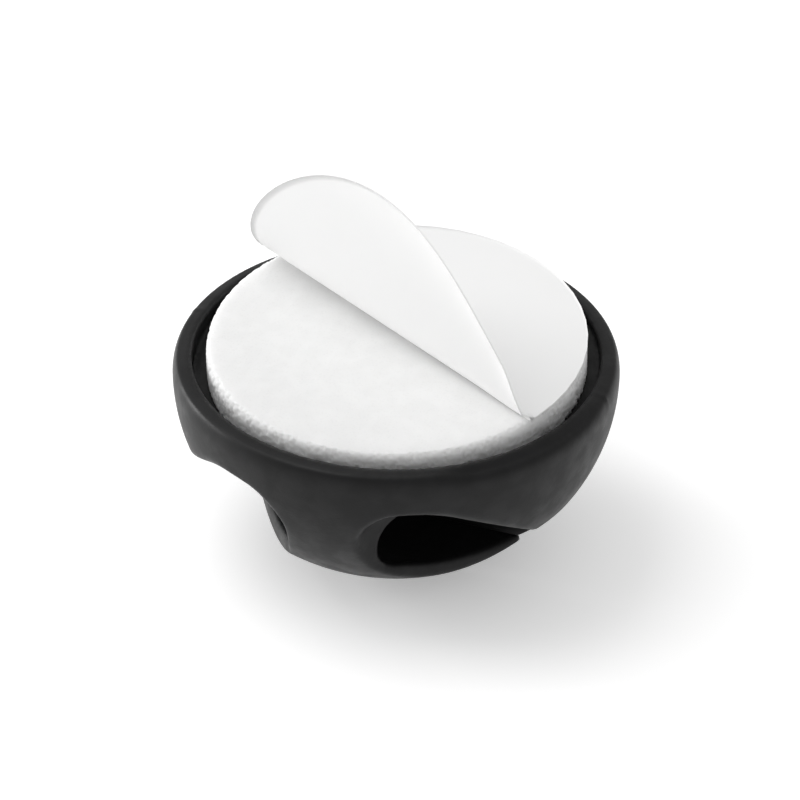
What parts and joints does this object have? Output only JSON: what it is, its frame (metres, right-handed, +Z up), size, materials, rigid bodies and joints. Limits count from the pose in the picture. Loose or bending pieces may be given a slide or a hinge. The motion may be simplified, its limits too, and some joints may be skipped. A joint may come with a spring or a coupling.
{
  "type": "cable clip",
  "caption": "Domed rubber cable clip with a flared strap that closes a side channel, on a round foam adhesive pad whose paper liner is half peeled.",
  "frame": {"origin": "lowest point of the dome, on the dome's axis", "axes": "+X along the cable channel, +Z up to the adhesive base, and the strap on the -Y side"},
  "size_m": [0.038, 0.038, 0.0364],
  "materials": {
    "rubber": "matt black moulded rubber with a fine satin skin",
    "foam": "white open-celled foam with a ragged die-cut edge",
    "paper": "smooth white siliconed release paper"
  },
  "bodies": {
    "root": {"clip_body": "rubber", "foam_pad": "foam", "release_liner": "paper"}
  },
  "joints": []
}
